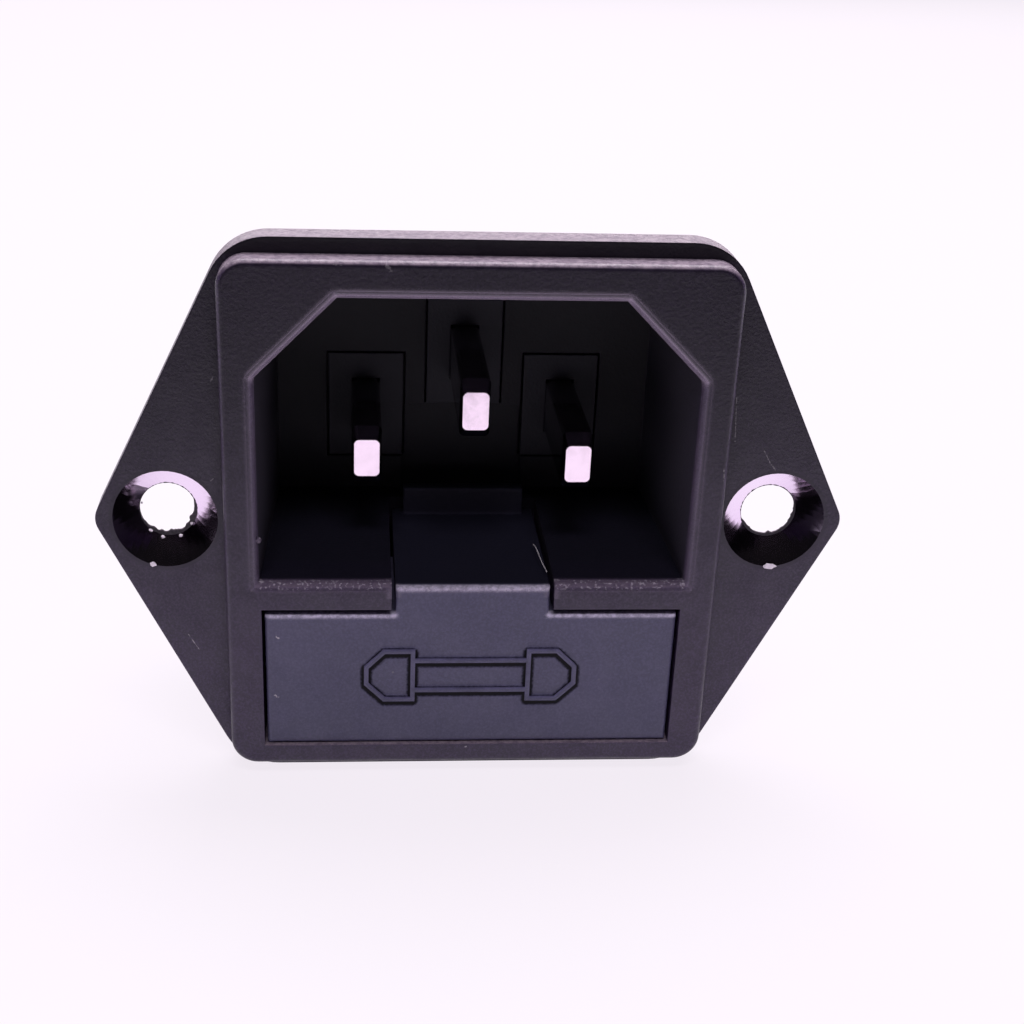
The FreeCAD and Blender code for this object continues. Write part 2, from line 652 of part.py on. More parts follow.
# ---------------------------------------------------------------- checks and export
doc.recompute()
for item in doc.Objects:
    if {"Invalid", "Error"} & set(item.State):
        raise RuntimeError(f"{item.Name} failed to build: {item.State}")
os.makedirs("parts", exist_ok=True)
for piece in parts:
    if piece.Shape.isNull() or not piece.Shape.isValid():
        raise RuntimeError(f"{piece.Label} has no valid shape")
    box = piece.Shape.BoundBox
    print(f"{piece.Label:20} solids {len(piece.Shape.Solids)} volume {piece.Shape.Volume:9.2f}"
          f"  x {box.XMin:7.2f} {box.XMax:7.2f}  y {box.YMin:7.2f} {box.YMax:7.2f}"
          f"  z {box.ZMin:7.2f} {box.ZMax:7.2f}")
    piece.Shape.exportStep(f"parts/{piece.Label}.step")
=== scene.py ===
import json
import math
import random
from dataclasses import dataclass

import bmesh
import bpy
from mathutils import Matrix, Vector, noise

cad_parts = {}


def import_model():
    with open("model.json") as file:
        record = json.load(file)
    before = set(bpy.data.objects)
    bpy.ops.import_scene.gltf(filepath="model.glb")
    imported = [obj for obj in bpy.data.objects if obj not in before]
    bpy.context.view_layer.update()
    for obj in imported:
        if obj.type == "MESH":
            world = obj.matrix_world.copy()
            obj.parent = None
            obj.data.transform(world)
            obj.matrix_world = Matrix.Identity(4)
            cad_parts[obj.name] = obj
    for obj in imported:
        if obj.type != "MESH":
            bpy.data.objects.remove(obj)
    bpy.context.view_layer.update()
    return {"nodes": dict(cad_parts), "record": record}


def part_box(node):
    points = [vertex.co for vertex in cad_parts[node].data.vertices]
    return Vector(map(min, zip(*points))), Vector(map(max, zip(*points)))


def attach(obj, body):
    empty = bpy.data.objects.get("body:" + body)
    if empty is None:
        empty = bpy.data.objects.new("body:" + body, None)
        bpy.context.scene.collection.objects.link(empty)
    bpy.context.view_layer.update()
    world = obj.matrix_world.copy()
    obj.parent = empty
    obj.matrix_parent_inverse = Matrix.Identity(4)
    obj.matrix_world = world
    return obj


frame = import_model()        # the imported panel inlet: the housing with its pins, and the fuse drawer

MM = 0.001
nodes = frame["nodes"]
record = frame["record"]

# Places that the looks are hung on. The holes and the front faces come from the frame.
housing_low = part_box("housing")[0]
drawer_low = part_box("fuse_drawer")[0]
SCREWS = next(m for m in record["mounts"] if m["name"] == "panel_screws")
HOLE_X = SCREWS["dims"]["spacing_x_mm"] * MM / 2
HOLE_R = SCREWS["dims"]["hole_r_mm"] * MM
BEZEL_Y = housing_low.y                  # front face of the raised bezel
BEZEL_DEPTH = 1.7 * MM                   # how far it stands out from the flange
FLANGE_Y = BEZEL_Y + BEZEL_DEPTH         # front face of the flange
SINK_R = 3.37 * MM                       # outer radius of the countersinks
SINK_DEPTH = 1.75 * MM
SINK_FLOOR_Y = FLANGE_Y + SINK_DEPTH     # where the countersink meets the plain hole
LOW_SIDE = (0.55, 0.0, -0.83)            # outward and down: the countersinks' side where a dark reflection is painted
RECESS_LOW = Vector((-14.4 * MM, BEZEL_Y + 0.5 * MM, -4.9 * MM))     # the cord recess and its key slot
RECESS_HIGH = Vector((14.4 * MM, BEZEL_Y + 17 * MM, 15.6 * MM))
LIP_LOW = Vector((-15.4 * MM, BEZEL_Y - 0.2 * MM, -5.0 * MM))        # the lip of its mouth, painted pale as a highlight
LIP_HIGH = Vector((15.4 * MM, BEZEL_Y + 0.9 * MM, 16.6 * MM))
STEP_Z = 17.5 * MM                       # the flange shows above this, over the bezel
SYMBOL_Z = -10.75 * MM                   # middle of the raised fuse symbol
SYMBOL_RAISE = 0.18 * MM                 # how far its ribs stand out from the drawer


# ---------------------------------------------------------------- node helpers

BEVEL_SAMPLES = 6
TEAR_SCALE = 6000        # noise that tears the sides of a scratch
SOLID_PART = 0.6         # share of a mark's half width before it fades


class Look:
    """One procedural material, with short calls for the nodes it is made of."""

    def __init__(self, name):
        self.material = bpy.data.materials.new(name)
        self.material.use_nodes = True
        self.tree = self.material.node_tree
        self.shader = self.tree.nodes["Principled BSDF"]
        self.place = self.add("ShaderNodeTexCoord").outputs["Object"]

    def add(self, kind, **settings):
        made = self.tree.nodes.new(kind)
        for key, value in settings.items():
            setattr(made, key, value)
        return made

    def join(self, source, target):
        """Links a socket, or sets a plain value."""
        if isinstance(source, bpy.types.NodeSocket):
            self.tree.links.new(source, target)
        else:
            target.default_value = source

    def noise(self, scale, detail=2.0, rough=0.5, place=None):
        made = self.add("ShaderNodeTexNoise")
        self.join(place or self.place, made.inputs["Vector"])
        made.inputs["Scale"].default_value = scale
        made.inputs["Detail"].default_value = detail
        made.inputs["Roughness"].default_value = rough
        return made.outputs["Fac"]

    def cells(self, scale):
        made = self.add("ShaderNodeTexVoronoi")
        self.join(self.place, made.inputs["Vector"])
        made.inputs["Scale"].default_value = scale
        return made.outputs["Distance"]

    def stretched(self, scale):
        """The place scaled by axis, for noise that is drawn out along one of them."""
        made = self.add("ShaderNodeMapping")
        self.join(self.place, made.inputs["Vector"])
        made.inputs["Scale"].default_value = scale
        return made.outputs["Vector"]

    def remap(self, value, low, high, to_low=0.0, to_high=1.0):
        """A smooth step: to_low at low, to_high at high."""
        made = self.add("ShaderNodeMapRange", interpolation_type="SMOOTHSTEP")
        self.join(value, made.inputs["Value"])
        made.inputs["From Min"].default_value = low
        made.inputs["From Max"].default_value = high
        made.inputs["To Min"].default_value = to_low
        made.inputs["To Max"].default_value = to_high
        return made.outputs["Result"]

    def calc(self, operation, a, b=None, clamp=False):
        made = self.add("ShaderNodeMath", operation=operation, use_clamp=clamp)
        self.join(a, made.inputs[0])
        if b is not None:
            self.join(b, made.inputs[1])
        return made.outputs[0]

    def vector(self, operation, a, b=None):
        made = self.add("ShaderNodeVectorMath", operation=operation)
        self.join(a, made.inputs[0])
        if b is not None:
            self.join(b, made.inputs["Scale" if operation == "SCALE" else 1])
        wanted = "Value" if operation in ("LENGTH", "DOT_PRODUCT") else "Vector"
        return made.outputs[wanted]

    def product(self, *shares):
        total = shares[0]
        for share in shares[1:]:
            total = self.calc("MULTIPLY", total, share)
        return total

    def largest(self, shares):
        total, *others = shares
        for share in others:
            total = self.calc("MAXIMUM", total, share)
        return total

    def rest_of(self, share):
        return self.calc("SUBTRACT", 1.0, share)

    def mix(self, amount, a, b):
        """a where the amount is 0, b where it is 1."""
        made = self.add("ShaderNodeMix", data_type="RGBA")
        self.join(amount, made.inputs[0])
        self.join(a, made.inputs[6])
        self.join(b, made.inputs[7])
        return made.outputs[2]

    def separate(self, source):
        made = self.add("ShaderNodeSeparateXYZ")
        self.join(source, made.inputs[0])
        return made.outputs

    def combine(self, x, y, z):
        made = self.add("ShaderNodeCombineXYZ")
        for value, target in zip((x, y, z), made.inputs):
            self.join(value, target)
        return made.outputs[0]

    def flat_normal(self):
        return self.add("ShaderNodeNewGeometry").outputs["True Normal"]

    def edge(self, radius):
        """The normal rounded over the edges, and how far it leans from the flat one."""
        rounded = self.add("ShaderNodeBevel", samples=BEVEL_SAMPLES)
        rounded.inputs["Radius"].default_value = radius
        lean = self.rest_of(self.vector("DOT_PRODUCT", rounded.outputs[0], self.flat_normal()))
        return rounded.outputs[0], lean

    def bump(self, height, distance, strength, normal):
        made = self.add("ShaderNodeBump")
        self.join(height, made.inputs["Height"])
        made.inputs["Distance"].default_value = distance
        made.inputs["Strength"].default_value = strength
        self.join(normal, made.inputs["Normal"])
        return made.outputs["Normal"]

    def near_segment(self, start, end, width, place=None, ragged=0.9):
        """1 along a short straight mark between two points in mm, 0 away from it.

        With a place of its own, the mark runs through the object along y."""
        start, end = Vector(start) * MM, Vector(end) * MM
        along = end - start
        offset = self.vector("SUBTRACT", place or self.place, tuple(start))
        if place:
            offset = self.vector("MULTIPLY", offset, (1, 0, 1))
        share = self.vector("DOT_PRODUCT", offset, tuple(along / along.length_squared))
        nearest = self.vector("SCALE", tuple(along), self.calc("MULTIPLY", share, 1.0, clamp=True))
        away = self.vector("LENGTH", self.vector("SUBTRACT", offset, nearest))
        torn = self.remap(self.noise(TEAR_SCALE), 0.3, 0.7, 0, ragged * width * MM)
        return self.remap(self.calc("ADD", away, torn), SOLID_PART * width * MM, width * MM, 1.0, 0.0)

    def colour(self, value):
        self.join(value, self.shader.inputs["Base Color"])

    def set(self, **values):
        names = {"rough": "Roughness", "metal": "Metallic", "ior": "IOR", "normal": "Normal",
                 "specular": "Specular IOR Level", "transmission": "Transmission Weight"}
        for key, value in values.items():
            self.join(value, self.shader.inputs[names[key]])


# ---------------------------------------------------------------- materials

def dress(node, look):
    """Puts the material in each of the node's slots. Its shape stays as it is."""
    for slot in nodes[node].material_slots:
        slot.material = look.material


def inside(look, low, high, soft):
    """1 within a box of the object, falling to 0 over a short way at its faces."""
    shares = []
    for axis, value in enumerate(look.separate(look.place)):
        for edge, sign in ((low[axis], 1), (high[axis], -1)):
            past = look.calc("MULTIPLY", look.calc("SUBTRACT", value, edge), sign)
            shares.append(look.remap(past, 0, soft))
    return look.product(*shares)


def lighter(colour, factor):
    return [factor * c for c in colour[:3]] + [1]


# Noise scales of the mouldings, per metre
CLOUD_SCALE = 160
GRAIN_SCALE = 6400
PIT_SCALE = 3600
MOTE_SCALE = 900
MOTE_AREA_SCALE = 300
WEAR_SCALE = 1500
GLOSS_SCALE = 700
GRIT_SCALE = 2600
GLINT_SCALE = 5000

# Colours that the mouldings share
UNBLEACHED = (0.020, 0.018, 0.023, 1)    # behind the panel, where no light has faded it
MOTE = (0.25, 0.22, 0.26, 1)
SCAR = (0.40, 0.36, 0.42, 1)
MIRROR = (0.86, 0.70, 0.92, 1)           # the polished countersinks
# painted dark reflection on the countersinks' low side
SHADED_MIRROR = (0.10, 0.085, 0.12, 1)
# painted highlight and glints on the recess's lip
LIP_HIGHLIGHT = (0.360, 0.290, 0.400, 1)
LIP_GLINT = (0.80, 0.72, 0.84, 1)
# painted shade in the recess, set by which way its faces look
RECESS_BACK = (0.021, 0.019, 0.033, 1)
RECESS_SIDES = (0.048, 0.043, 0.062, 1)
RECESS_FLOOR = (0.008, 0.008, 0.014, 1)
# painted shade on the face's top, and in the step over the bezel
TOP_SHADE = (0.004, 0.002, 0.008, 1)
STEP_SHADE = (0.004, 0.003, 0.006, 1)
# painted shadow below and beside the symbol's ribs
SYMBOL_SHADOW = (0.006, 0.005, 0.009, 1)

# Roughness, as greys
MIRROR_ROUGH = (0.13, 0.13, 0.13, 1)
RECESS_ROUGH = (0.62, 0.62, 0.62, 1)
MOAT_ROUGH = (0.95, 0.95, 0.95, 1)

# How much each layer hides of what is under it
UNBLEACHED_COVER = 0.85
MOTE_COVER = 0.35
RUBBED_COVER = 0.7
SCAR_COVER = 0.9
SHADED_SIDE_COVER = 0.85
DUST_AND_HIGHLIGHT_COVER = 0.75
DUST_AND_HIGHLIGHT_ON_LIP = 0.25       # share of the dust and painted highlight that stays on the lip
DUST_AND_HIGHLIGHT_BEHIND = 0.12       # and behind the depth where it thins out
LIP_COVER_ABOVE, LIP_COVER_BELOW = 0.95, 0.24
LIP_GLINT_COVER = 0.7
RECESS_SHADE_COVER = 0.9
TOP_SHADE_COVER = 0.78
STEP_SHADE_COVER = 0.7

RECESS_SOFT = 0.5 * MM   # how softly the looks of the recess and of its lip begin
LIP_SOFT = 0.1 * MM
LIP_ROUND = 0.7 * MM     # how wide the lip is rounded in shading, and the band of its painted highlight
DEEP_FROM, DEEP_TO = -17 * MM, 13 * MM   # heights between which painted shade turns the face deeper black
DUST_AND_HIGHLIGHT_RISE = 0.2 * MM     # how softly the dust and painted highlight begin in height, and end in depth
DUST_AND_HIGHLIGHT_FADE = 0.4 * MM
SMOOTHER, ROUGHER = 0.05, 0.07           # how far a moulding's roughness swings
GRAIN_TINT = 2.3         # how much lighter the grain's tops and the rubbed edges are
RUBBED_TINT = 2.6
MOAT_DEPTH = 3.0         # in the grain's own height
BUMP_STRENGTH = 0.8


@dataclass
class Plastic:
    """What one moulding looks like, and where its dust and painted highlight lie."""
    dark: tuple                          # the two colours of its clouds
    light: tuple
    grain: float                         # height of the grain
    rough: float
    speckle: float = 0.6                 # how much of the grain's tops is paler
    edge_radius: float = 0.16 * MM       # how far its edges are rubbed round
    marks: tuple = ()                    # scratches and knocks
    dust_and_highlight_lean: tuple = (0.25, 0.75)      # upward part of the normal at which the dust and painted highlight begin and are full
    dust_and_highlight_over: float = -1.0              # they lie only above this height
    dust_and_highlight_to: float = 0.1 * MM            # and thins out behind this depth
    # pale on faces that look up: dust, and a painted highlight
    dust_and_highlight_colour: tuple = (0.38, 0.30, 0.37, 1)


def moulded(name, plastic, holes=False, symbol=False):
    """Spark-eroded black thermoplastic: fine grain, soft clouding, pale dust that is partly a painted
    highlight, worn edges.

    holes adds the polished countersinks with their painted dark side and the face's painted shades, symbol
    the painted shadow round the ribs."""
    look = Look(name)
    _, y, z = look.separate(look.place)
    cloud = look.remap(look.noise(CLOUD_SCALE, 4, 0.6), 0.35, 0.68)
    clouded = colour = look.mix(cloud, plastic.dark, plastic.light)
    if holes:
        colour = look.mix(look.remap(y, -0.6 * MM, -0.05 * MM, 0.0, UNBLEACHED_COVER), colour,
                          UNBLEACHED)

    fine = look.noise(GRAIN_SCALE, 3, 0.7)
    tops = look.remap(fine, 0.38, 0.72, 0, plastic.speckle)
    colour = look.mix(tops, colour, lighter(plastic.light, GRAIN_TINT))
    height = look.calc("ADD", fine, look.calc("MULTIPLY", look.cells(PIT_SCALE), 0.5))

    motes = look.product(look.remap(look.cells(MOTE_SCALE), 0.05, 0.11, 1.0, 0.0),
                         look.remap(look.noise(MOTE_AREA_SCALE, 3), 0.58, 0.66))
    colour = look.mix(look.product(motes, MOTE_COVER), colour, MOTE)

    rounded, lean = look.edge(plastic.edge_radius)
    worn_and_lit = look.product(look.remap(lean, 0.015, 0.12),
                          look.remap(look.noise(WEAR_SCALE, 3), 0.3, 0.65, 0.35, 1.0))
    colour = look.mix(look.product(worn_and_lit, RUBBED_COVER), colour, lighter(plastic.light, RUBBED_TINT))
    finish = look.remap(look.noise(GLOSS_SCALE, 3), 0.3, 0.7, plastic.rough - SMOOTHER,
                        plastic.rough + ROUGHER)
    if plastic.marks:
        scar = look.largest([look.near_segment(*mark) for mark in plastic.marks])
        colour = look.mix(look.product(scar, SCAR_COVER), colour, SCAR)

    if holes:
        # no rubbed edge shows round a countersink
        around, polished, shaded_side = countersinks(look)
        rounded = look.mix(around, rounded, look.flat_normal())
        colour = look.mix(around, colour, clouded)
        # the cones' low side is painted dark: a painted dark reflection
        shine = look.mix(look.product(shaded_side, SHADED_SIDE_COVER), MIRROR, SHADED_MIRROR)
        colour = look.mix(polished, colour, shine)
        finish = look.mix(polished, finish, MIRROR_ROUGH)
        height = look.product(height, look.rest_of(polished))
        look.set(metal=polished)

    core = inside(look, RECESS_LOW, RECESS_HIGH, RECESS_SOFT)
    lip = inside(look, LIP_LOW, LIP_HIGH, LIP_SOFT)
    # faces that look up are paler: partly dust, partly a painted highlight
    dust_and_highlight = look.product(look.remap(look.separate(rounded)[2], *plastic.dust_and_highlight_lean),
                         look.remap(look.noise(GRIT_SCALE, 4, 0.75), 0.36, 0.62, 0.45, 1.0),
                         look.rest_of(core),
                         look.remap(z, plastic.dust_and_highlight_over, plastic.dust_and_highlight_over + DUST_AND_HIGHLIGHT_RISE),
                         look.remap(y, plastic.dust_and_highlight_to, plastic.dust_and_highlight_to + DUST_AND_HIGHLIGHT_FADE, 1.0, DUST_AND_HIGHLIGHT_BEHIND))
    if not symbol:
        dust_and_highlight = look.product(dust_and_highlight, look.remap(lip, 0, 1, 1.0, DUST_AND_HIGHLIGHT_ON_LIP))
    colour = look.mix(look.product(dust_and_highlight, DUST_AND_HIGHLIGHT_COVER), colour, plastic.dust_and_highlight_colour)

    # painted highlight on the lip; the edge wear mask gives way to the lip's band
    colour, rounded, worn_and_lit = lit_lip(look, colour, rounded, lip)
    # painted shade darkens the recess and the drawer's tongue in it
    colour = look.mix(look.product(core, RECESS_SHADE_COVER), colour, recess_shade(look))
    finish = look.mix(core, finish, RECESS_ROUGH)
    if holes:
        colour = face_shades(look, colour, worn_and_lit)
    # painted shadow round the symbol's ribs, which the bump also sinks as a moat
    if symbol:
        rib_shadow = symbol_shadow(look)
        colour = look.mix(rib_shadow, colour, SYMBOL_SHADOW)
        finish = look.mix(rib_shadow, finish, MOAT_ROUGH)
        height = look.calc("SUBTRACT", height, look.calc("MULTIPLY", rib_shadow, MOAT_DEPTH))
    look.colour(colour)
    look.set(rough=finish, normal=look.bump(height, plastic.grain, BUMP_STRENGTH, rounded))
    return look


def lit_lip(look, colour, rounded, lip):
    """The recess's lip, rounded in shading, with a pale band painted on it as a highlight, most of all
    above, and painted glints where it faces up.
    """
    worn, lean = look.edge(LIP_ROUND)
    up = look.separate(worn)[2]
    worn_and_lit = look.product(lip, look.remap(lean, 0.001, 0.03))
    cover = look.product(worn_and_lit, look.remap(up, -0.25, -0.02, LIP_COVER_ABOVE, LIP_COVER_BELOW))
    colour = look.mix(cover, colour, LIP_HIGHLIGHT)
    lip_glints = look.product(worn_and_lit, look.remap(look.noise(GLINT_SCALE, 2), 0.56, 0.64),
                           look.remap(up, 0.25, 0.6), LIP_GLINT_COVER)
    return look.mix(lip_glints, colour, LIP_GLINT), look.mix(lip, rounded, worn), worn_and_lit


def recess_shade(look):
    """Painted shade in the recess: a bluer black than the face, palest on its sides and deepest on its
    floor.
    """
    across, _, up = look.separate(look.flat_normal())
    sides = look.remap(look.calc("ABSOLUTE", across), 0.4, 0.8)
    return look.mix(look.remap(up, 0.4, 0.8), look.mix(sides, RECESS_BACK, RECESS_SIDES), RECESS_FLOOR)


def face_shades(look, colour, worn_and_lit):
    """Painted shade: the face is deeper black towards its top, and the step over the bezel is painted dark.
    """
    _, y, z = look.separate(look.place)
    toward = look.calc("MULTIPLY", look.separate(look.flat_normal())[1], -1.0)
    facing = look.remap(toward, 0.8, 0.95)
    top_shade = look.product(look.remap(z, DEEP_FROM, DEEP_TO, 0.0, TOP_SHADE_COVER), facing, look.rest_of(worn_and_lit))
    colour = look.mix(top_shade, colour, TOP_SHADE)
    # painted shade in the step over the bezel, where the bezel shades the flange
    step = look.product(look.remap(z, STEP_Z - 0.1 * MM, STEP_Z + 0.1 * MM),
                        look.remap(y, FLANGE_Y - 0.2 * MM, FLANGE_Y - 0.1 * MM), facing, STEP_SHADE_COVER)
    return look.mix(step, colour, STEP_SHADE)


def countersinks(look):
    """Masks for the ring round the screw holes, their polished cones, and the cones' low side, where a dark
    reflection is painted.
    """
    x, y, z = look.separate(look.place)
    from_axis = look.combine(look.calc("SUBTRACT", look.calc("ABSOLUTE", x), HOLE_X), 0.0, z)
    away = look.vector("LENGTH", from_axis)
    facing = look.calc("MULTIPLY", look.separate(look.flat_normal())[1], -1.0)
    around = look.remap(away, SINK_R + 0.2 * MM, SINK_R + 0.3 * MM, 1.0, 0.0)
    polished = look.product(look.remap(away, SINK_R + 0.04 * MM, SINK_R + 0.06 * MM, 1.0, 0.0),
                            look.remap(y, SINK_FLOOR_Y - 0.02 * MM, SINK_FLOOR_Y + 0.02 * MM, 1.0, 0.0),
                            look.remap(facing, 0.80, 0.90, 1.0, 0.0))
    low_side = look.vector("DOT_PRODUCT", look.vector("NORMALIZE", from_axis), LOW_SIDE)
    return around, polished, look.remap(low_side, -0.12, 0.06)


# A quarter of the fuse symbol's outline, x and z in mm from its middle
BAR_HALF, BAR_Z = 3.9, 1.125             # the fuse's tube
CAP_END, CAP_Z = 7.02, 1.83              # and its cap, with a slanted corner
CAP_SLANT = 1.2
SYMBOL_LINES = (
    ((0, BAR_Z), (BAR_HALF, BAR_Z)), ((BAR_HALF, 0), (BAR_HALF, CAP_Z)),
    ((BAR_HALF, CAP_Z), (CAP_END - CAP_SLANT, CAP_Z)),
    ((CAP_END - CAP_SLANT, CAP_Z), (CAP_END, CAP_Z - CAP_SLANT)),
    ((CAP_END, CAP_Z - CAP_SLANT), (CAP_END, 0)),
)
RIB_SHADOW_WIDTH = 0.50                        # half width of the painted shadow along the ribs, in mm
RIB_SHADOW_RAGGED = 0.12
RIB_SHADOW_DROP = 0.19 * MM                    # how far below the ribs the painted shadow is moved, as if cast from above


def symbol_shadow(look):
    """Painted shadow along the feet of the symbol's ribs, most of it below them, as if cast by a light from
    above.
    """
    x, y, z = look.separate(look.place)
    from_middle = look.calc("SUBTRACT", look.calc("ADD", z, RIB_SHADOW_DROP), SYMBOL_Z)
    quarter = look.combine(look.calc("ABSOLUTE", x), 0.0, look.calc("ABSOLUTE", from_middle))
    near = look.largest([look.near_segment((a[0], 0, a[1]), (b[0], 0, b[1]), RIB_SHADOW_WIDTH, quarter,
                                           ragged=RIB_SHADOW_RAGGED) for a, b in SYMBOL_LINES])
    face = drawer_low.y + SYMBOL_RAISE
    behind_ribs = look.remap(y, face - 0.08 * MM, face - 0.02 * MM)
    at_face = look.remap(y, face + 0.32 * MM, face + 0.22 * MM)
    return look.product(near, behind_ribs, at_face)


# Scratches and knocks: start, end, half width, in mm
HOUSING_MARKS = (
    ((-5.95, -3.7, 17.45), (-5.65, -3.7, 17.08), 0.22),
    ((-9.0, -3.7, 17.4), (-8.6, -3.7, 17.36), 0.14),
    ((15.84, -3.7, 4.4), (15.98, -3.7, 3.2), 0.07),
    ((18.73, -2.0, 5.1), (19.3, -2.0, 4.1), 0.05),
    ((19.3, -2.0, 4.1), (19.85, -2.0, 3.42), 0.07),
    ((-17.0, -2.0, 2.7), (-16.8, -2.0, 2.9), 0.08),
    ((-16.75, -2.0, 9.4), (-16.6, -2.0, 9.7), 0.1),
    ((-12.3, -1.3, 18.6), (-11.8, -0.9, 18.6), 0.07),
    ((-10.6, -1.4, 18.6), (-10.2, -1.1, 18.6), 0.06),
    ((6.35, -3.7, -16.05), (6.55, -3.7, -15.95), 0.1),
    ((-0.25, -3.7, -16.4), (-0.15, -3.7, -16.35), 0.08),
    ((16.6, -2.0, 8.6), (16.8, -2.0, 5.6), 0.05),
    ((-18.9, -2.0, -8.4), (-18.2, -2.0, -9.6), 0.04),
)
DRAWER_MARKS = (
    ((-13.0, -3.5, -7.75), (-12.85, -3.5, -7.95), 0.12),
    ((-13.15, -3.5, -12.3), (-12.95, -3.5, -12.45), 0.12),
)

METAL_CLOUD_SCALE = 420
PAINTED_SIDE_SHADE = (0.16, 0.13, 0.17, 1)
METAL_EDGE = 0.1 * MM
METAL_RELIEF = 0.012 * MM


def metal(name, colour, tarnish, rough, brush, shaded_sides=False):
    """Plated strip metal: drawn lines along the part and cloudy tarnish.

    The flag for the sides paints shade on all but the faces that look to the front."""
    look = Look(name)
    lines = look.noise(1.0, 3, 0.6, look.stretched(brush))
    cloud = look.remap(look.noise(METAL_CLOUD_SCALE, 4), 0.4, 0.75)
    base = look.mix(look.calc("MULTIPLY", cloud, 0.6), colour, tarnish)
    base = look.mix(look.remap(lines, 0.45, 0.8, 0, 0.35), base, tarnish)
    if shaded_sides:
        # painted shade on every face but the front ones
        base = look.mix(look.remap(look.separate(look.flat_normal())[1], -0.9, -0.7), base, PAINTED_SIDE_SHADE)
    look.colour(base)
    rounded, _ = look.edge(METAL_EDGE)
    look.set(metal=1.0, rough=look.remap(lines, 0.2, 0.8, rough - 0.05, rough + 0.12),
             normal=look.bump(lines, METAL_RELIEF, 0.5, rounded))
    return look


def clear_glass(name):
    """Drawn tube glass, with faint streaks along x."""
    look = Look(name)
    streak = look.noise(1.0, 2, 0.5, look.stretched((60, 900, 900)))
    look.colour(look.mix(streak, (0.93, 0.96, 0.95, 1), (0.98, 0.99, 0.99, 1)))
    look.set(transmission=1.0, ior=1.5, rough=look.remap(streak, 0.3, 0.8, 0.02, 0.07))
    return look


housing_plastic = moulded("housing_moulding", Plastic(
    dark=(0.025, 0.016, 0.042, 1), light=(0.037, 0.024, 0.057, 1), grain=0.026 * MM, rough=0.40,
    marks=HOUSING_MARKS), holes=True)
# the drawer's pale top edges are a painted highlight
drawer_plastic = moulded("drawer_moulding", Plastic(
    dark=(0.054, 0.049, 0.102, 1), light=(0.066, 0.060, 0.120, 1), grain=0.025 * MM, rough=0.38,
    speckle=0.25, edge_radius=0.40 * MM, marks=DRAWER_MARKS, dust_and_highlight_lean=(0.03, 0.22),
    dust_and_highlight_over=-7.8 * MM, dust_and_highlight_to=-3.2 * MM, dust_and_highlight_colour=(0.78, 0.70, 0.92, 1)), symbol=True)
carrier_plastic = moulded("carrier_moulding", Plastic(
    dark=(0.018, 0.0145, 0.021, 1), light=(0.026, 0.021, 0.030, 1), grain=0.03 * MM, rough=0.5))
# the pins get painted shade on their sides
pin_metal = metal("pin_nickel", (1.0, 0.83, 0.99, 1), (0.94, 0.77, 0.92, 1), 0.10, (900, 60, 900),
                  shaded_sides=True)
terminal_metal = metal("terminal_tin", (0.72, 0.70, 0.70, 1), (0.50, 0.47, 0.45, 1), 0.34, (1400, 90, 1400))
contact_metal = metal("contact_bronze", (0.78, 0.52, 0.28, 1), (0.52, 0.33, 0.18, 1), 0.33, (1200, 90, 1200))
cap_metal = metal("fuse_cap_nickel", (0.80, 0.77, 0.73, 1), (0.58, 0.54, 0.50, 1), 0.24, (90, 1500, 1500))
wire_metal = metal("fuse_wire_tin", (0.66, 0.64, 0.62, 1), (0.42, 0.40, 0.38, 1), 0.35, (400, 3000, 3000))
fuse_glass = clear_glass("fuse_tube_glass")

DRESS = {
    "housing": housing_plastic, "terminal_carrier": carrier_plastic, "fuse_drawer": drawer_plastic,
    "line_pin": pin_metal, "neutral_pin": pin_metal, "earth_pin": pin_metal,
    "neutral_tab": terminal_metal, "earth_tab": terminal_metal, "line_terminal": terminal_metal,
    "pin_side_contact": contact_metal,
    "fuse_glass": fuse_glass, "spare_fuse_glass": fuse_glass,
    "fuse_cap_left": cap_metal, "fuse_cap_right": cap_metal,
    "spare_fuse_cap_left": cap_metal, "spare_fuse_cap_right": cap_metal,
    "fuse_wire": wire_metal, "spare_fuse_wire": wire_metal,
}
for node, look in DRESS.items():
    dress(node, look)


# ---------------------------------------------------------------- small pieces

def piece(name, mesh, look, body):
    made = bpy.data.objects.new(name, mesh)
    bpy.context.scene.collection.objects.link(made)
    mesh.materials.append(look.material)
    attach(made, body)


FLASH_STEPS = 96
FLASH_TURN = 0.35                        # it is longest below, turned this far to the right
FLASH_LEAST = 0.02                       # how far it reaches into the hole, in mm
FLASH_MOST = (0.16, 0.30, 0.35)          # plain, and what long and short waves add
FLASH_ROOT = 0.06 * MM                   # how far outside the hole it begins
LONG_WAVES, SHORT_WAVES = 1.7, 5         # scales of the noise round the hole


